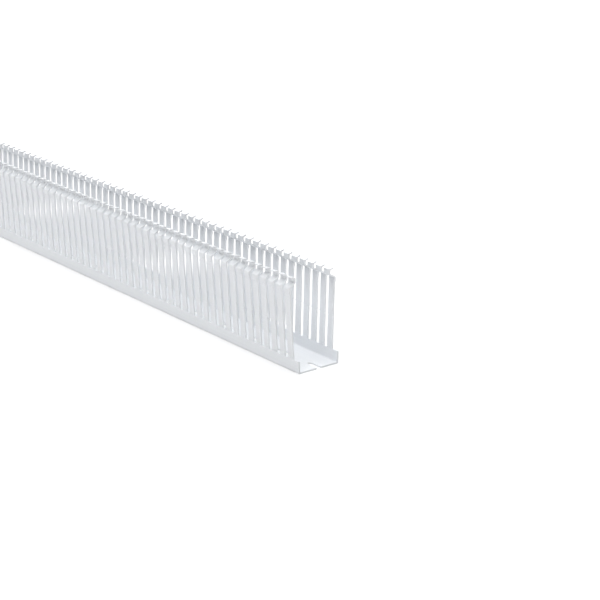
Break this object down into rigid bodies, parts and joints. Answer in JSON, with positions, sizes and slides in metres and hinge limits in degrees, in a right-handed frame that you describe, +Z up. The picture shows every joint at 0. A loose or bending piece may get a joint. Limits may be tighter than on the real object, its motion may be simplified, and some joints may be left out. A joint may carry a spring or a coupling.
{
  "type": "slotted wiring duct",
  "caption": "Straight open-topped plastic wiring duct with slotted finger side walls, cover grooves and base mounting slots.",
  "frame": {"origin": "underside of the base, at the middle of the length and of the width", "axes": "+X along the duct towards the end with the deeper open slot in its base, +Y across the width, +Z up out of the open top"},
  "size_m": [1, 0.057, 0.096],
  "materials": {
    "duct": "extruded rigid PVC, white, faint die lines along the length, satin"
  },
  "bodies": {
    "root": {"duct": "duct"}
  },
  "joints": []
}
